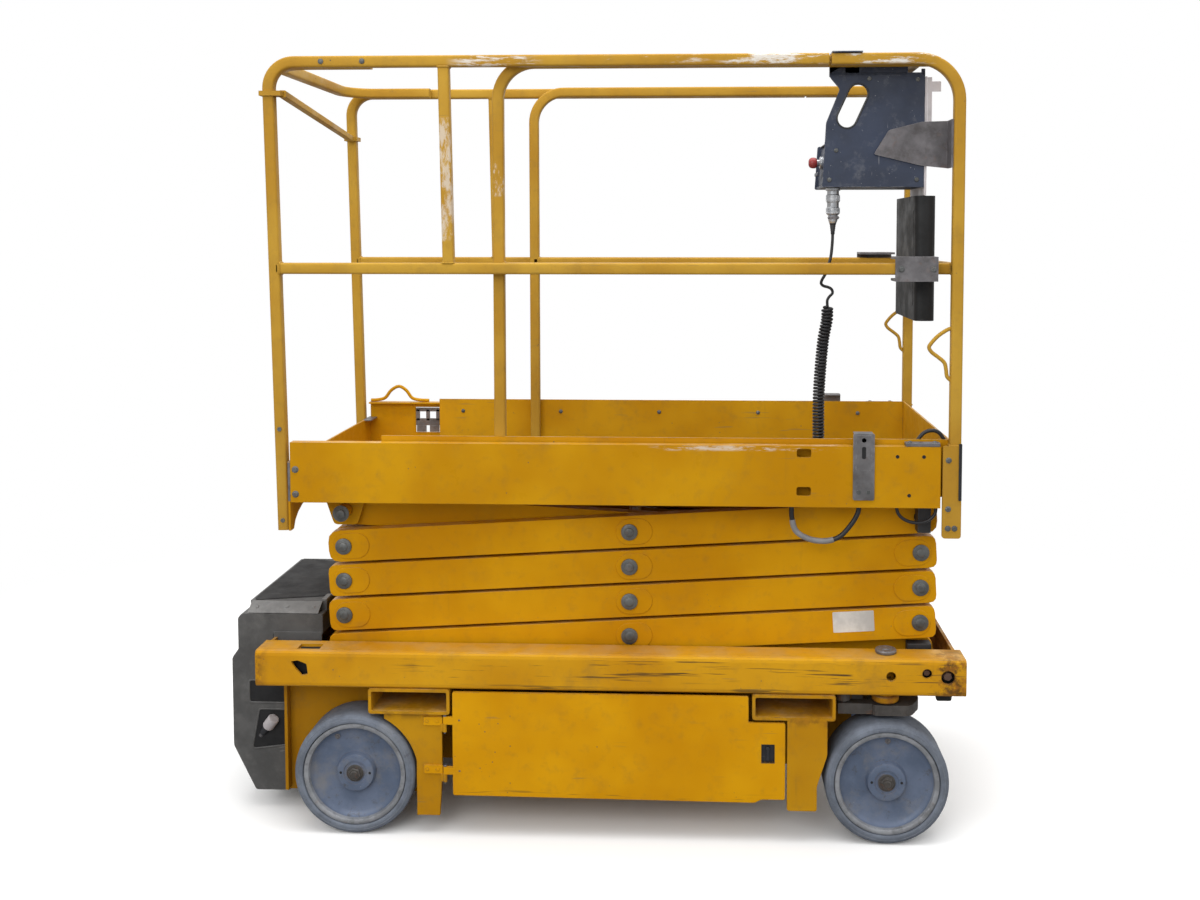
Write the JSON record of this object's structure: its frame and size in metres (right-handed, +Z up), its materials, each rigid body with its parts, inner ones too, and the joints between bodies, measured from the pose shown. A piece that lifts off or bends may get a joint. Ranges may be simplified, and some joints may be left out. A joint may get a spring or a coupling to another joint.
{
  "type": "electric scissor lift",
  "caption": "Slab scissor lift, stowed: wheeled chassis with swing-out trays, folding arm stack, guarded platform with a slide-out deck and hand controls.",
  "frame": {"origin": "on the floor, under the middle of the bounding box in length and width", "axes": "+X towards the steered end and the slide-out deck, +Y to the far side, +Z up"},
  "size_m": [1.884, 0.76, 1.9553],
  "materials": {
    "yellow_paint": "chipped gloss",
    "grey_paint": "satin",
    "cover_plastic": "matte",
    "bright_steel": "satin",
    "tyre_rubber": "matte",
    "rim_paint": "satin",
    "control_paint": "satin",
    "pale_paint": "satin",
    "black_plastic": "matte",
    "red_plastic": "gloss"
  },
  "bodies": {
    "chassis": {"chassis_frame": "yellow_paint", "chassis_beam_near": "yellow_paint", "chassis_beam_far": "yellow_paint", "fork_pocket_rear": "yellow_paint", "fork_pocket_front": "yellow_paint", "rear_cover": "cover_plastic", "rear_axle": "grey_paint"},
    "wheel_rear_near": {"tyre_rear_near": "tyre_rubber", "rim_rear_near": "rim_paint"},
    "wheel_rear_far": {"tyre_rear_far": "tyre_rubber", "rim_rear_far": "rim_paint"},
    "wheel_front_near": {"tyre_front_near": "tyre_rubber", "rim_front_near": "rim_paint"},
    "wheel_front_far": {"tyre_front_far": "tyre_rubber", "rim_front_far": "rim_paint"},
    "knuckle_near": {"steering_knuckle_near": "grey_paint"},
    "knuckle_far": {"steering_knuckle_far": "grey_paint"},
    "tie_rod": {"steering_tie_rod": "grey_paint"},
    "door_near": {"tray_door_near": "yellow_paint", "battery_block": "black_plastic"},
    "door_far": {"tray_door_far": "yellow_paint", "hydraulic_block": "grey_paint"},
    "outer_pair_1": {"outer_arms_1": "yellow_paint"},
    "inner_pair_1": {"inner_arms_1": "yellow_paint"},
    "outer_pair_2": {"outer_arms_2": "yellow_paint"},
    "inner_pair_2": {"inner_arms_2": "yellow_paint"},
    "outer_pair_3": {"outer_arms_3": "yellow_paint"},
    "inner_pair_3": {"inner_arms_3": "yellow_paint"},
    "outer_pair_4": {"outer_arms_4": "yellow_paint"},
    "inner_pair_4": {"inner_arms_4": "yellow_paint"},
    "lower_slide": {"lower_slide_shaft": "black_plastic"},
    "upper_slide": {"upper_slide_shaft": "black_plastic"},
    "cylinder_barrel": {"lift_cylinder_barrel": "black_plastic"},
    "cylinder_rod": {"lift_cylinder_rod": "bright_steel"},
    "platform": {"platform_floor": "grey_paint", "platform_channel_near": "yellow_paint", "platform_channel_far": "yellow_paint", "platform_end_plate": "yellow_paint", "guard_rail_near": "yellow_paint", "guard_rail_far": "yellow_paint", "rail_guide_near": "grey_paint", "rail_guide_far": "grey_paint", "entry_end_rail": "yellow_paint", "cable_loop": "black_plastic"},
    "entry_bar_body": {"entry_bar": "yellow_paint"},
    "extension": {"extension_deck": "yellow_paint", "extension_front_plate": "yellow_paint", "extension_guard_rail": "yellow_paint", "control_box": "control_paint", "control_back_plate": "pale_paint", "control_bracket": "grey_paint", "emergency_stop_button": "red_plastic", "document_box": "black_plastic", "cord_connector": "bright_steel", "cord_coil": "black_plastic", "cord_lead": "black_plastic", "cord_socket": "black_plastic"}
  },
  "joints": [
    {"name": "lift", "type": "hinge", "parent": "chassis", "child": "outer_pair_1", "pos_m": [-0.629, 0, 0.445], "axis": [0, -1, 0], "range_deg": [0, 55]},
    {"name": "cross_1", "type": "hinge", "parent": "outer_pair_1", "child": "inner_pair_1", "pos_m": [0.10698, 0, 0.48985], "axis": [0, 1, 0], "range_deg": [0, 110]},
    {"name": "knee_1", "type": "hinge", "parent": "inner_pair_1", "child": "outer_pair_2", "pos_m": [-0.629, 0, 0.5347], "axis": [0, -1, 0], "range_deg": [0, 110]},
    {"name": "cross_2", "type": "hinge", "parent": "outer_pair_2", "child": "inner_pair_2", "pos_m": [0.10698, 0, 0.57955], "axis": [0, 1, 0], "range_deg": [0, 110]},
    {"name": "knee_2", "type": "hinge", "parent": "inner_pair_2", "child": "outer_pair_3", "pos_m": [-0.629, 0, 0.6244], "axis": [0, -1, 0], "range_deg": [0, 110]},
    {"name": "cross_3", "type": "hinge", "parent": "outer_pair_3", "child": "inner_pair_3", "pos_m": [0.10698, 0, 0.66925], "axis": [0, 1, 0], "range_deg": [0, 110]},
    {"name": "knee_3", "type": "hinge", "parent": "inner_pair_3", "child": "outer_pair_4", "pos_m": [-0.629, 0, 0.7141], "axis": [0, -1, 0], "range_deg": [0, 110]},
    {"name": "cross_4", "type": "hinge", "parent": "outer_pair_4", "child": "inner_pair_4", "pos_m": [0.10698, 0, 0.75895], "axis": [0, 1, 0], "range_deg": [0, 110]},
    {"name": "platform_level", "type": "hinge", "parent": "inner_pair_4", "child": "platform", "pos_m": [-0.629, 0, 0.8038], "axis": [0, -1, 0], "range_deg": [0, 55]},
    {"name": "lower_slide_level", "type": "hinge", "parent": "inner_pair_1", "child": "lower_slide", "pos_m": [0.84297, 0, 0.445], "axis": [0, -1, 0], "range_deg": [0, 55]},
    {"name": "upper_slide_level", "type": "hinge", "parent": "outer_pair_4", "child": "upper_slide", "pos_m": [0.84297, 0, 0.8038], "axis": [0, 1, 0], "range_deg": [0, 55]},
    {"name": "cylinder_swing", "type": "hinge", "parent": "inner_pair_1", "child": "cylinder_barrel", "pos_m": [-0.09265, 0, 0.50201], "axis": [0, -1, 0], "range_deg": [0, 118]},
    {"name": "cylinder_stroke", "type": "slide", "parent": "cylinder_barrel", "child": "cylinder_rod", "axis": [0.9961, 0, 0.0885], "range_m": [0, 0.21]},
    {"name": "steering", "type": "hinge", "parent": "chassis", "child": "knuckle_near", "pos_m": [0.752, -0.325, 0.33], "axis": [0, 0, 1], "range_deg": [-65, 65]},
    {"name": "steering_far", "type": "hinge", "parent": "chassis", "child": "knuckle_far", "pos_m": [0.752, 0.325, 0.33], "axis": [0, 0, 1], "range_deg": [-65, 65]},
    {"name": "tie_rod_turn", "type": "hinge", "parent": "knuckle_near", "child": "tie_rod", "pos_m": [0.647, -0.325, 0.36], "axis": [0, 0, 1], "range_deg": [-65, 65]},
    {"name": "roll_rear_near", "type": "hinge", "parent": "chassis", "child": "wheel_rear_near", "pos_m": [-0.584, -0.321, 0.154], "axis": [0, 1, 0], "continuous": true},
    {"name": "roll_rear_far", "type": "hinge", "parent": "chassis", "child": "wheel_rear_far", "pos_m": [-0.584, 0.321, 0.154], "axis": [0, 1, 0], "continuous": true},
    {"name": "roll_front_near", "type": "hinge", "parent": "knuckle_near", "child": "wheel_front_near", "pos_m": [0.752, -0.321, 0.154], "axis": [0, 1, 0], "continuous": true},
    {"name": "roll_front_far", "type": "hinge", "parent": "knuckle_far", "child": "wheel_front_far", "pos_m": [0.752, 0.321, 0.154], "axis": [0, 1, 0], "continuous": true},
    {"name": "door_near_swing", "type": "hinge", "parent": "chassis", "child": "door_near", "pos_m": [-0.352, -0.375, 0.24], "axis": [0, 0, -1], "range_deg": [0, 90]},
    {"name": "door_far_swing", "type": "hinge", "parent": "chassis", "child": "door_far", "pos_m": [-0.352, 0.375, 0.24], "axis": [0, 0, 1], "range_deg": [0, 90]},
    {"name": "extension_slide", "type": "slide", "parent": "platform", "child": "extension", "axis": [1, 0, 0], "range_m": [0, 0.9]},
    {"name": "entry_bar_slide", "type": "slide", "parent": "platform", "child": "entry_bar_body", "axis": [0.0189, 0, -0.9998], "range_m": [0, 0.33]}
  ],
  "couplings": [
    {"joint": "cross_1", "follows": "lift", "ratio": 2},
    {"joint": "knee_1", "follows": "lift", "ratio": 2},
    {"joint": "cross_2", "follows": "lift", "ratio": 2},
    {"joint": "knee_2", "follows": "lift", "ratio": 2},
    {"joint": "cross_3", "follows": "lift", "ratio": 2},
    {"joint": "knee_3", "follows": "lift", "ratio": 2},
    {"joint": "cross_4", "follows": "lift", "ratio": 2},
    {"joint": "platform_level", "follows": "lift", "ratio": 1},
    {"joint": "lower_slide_level", "follows": "lift", "ratio": 1},
    {"joint": "upper_slide_level", "follows": "lift", "ratio": 1},
    {"joint": "cylinder_swing", "follows": "lift", "ratio": 2.1293},
    {"joint": "cylinder_stroke", "follows": "lift", "m_per_rad": 0.21639},
    {"joint": "steering_far", "follows": "steering", "ratio": 1},
    {"joint": "tie_rod_turn", "follows": "steering", "ratio": -1}
  ]
}
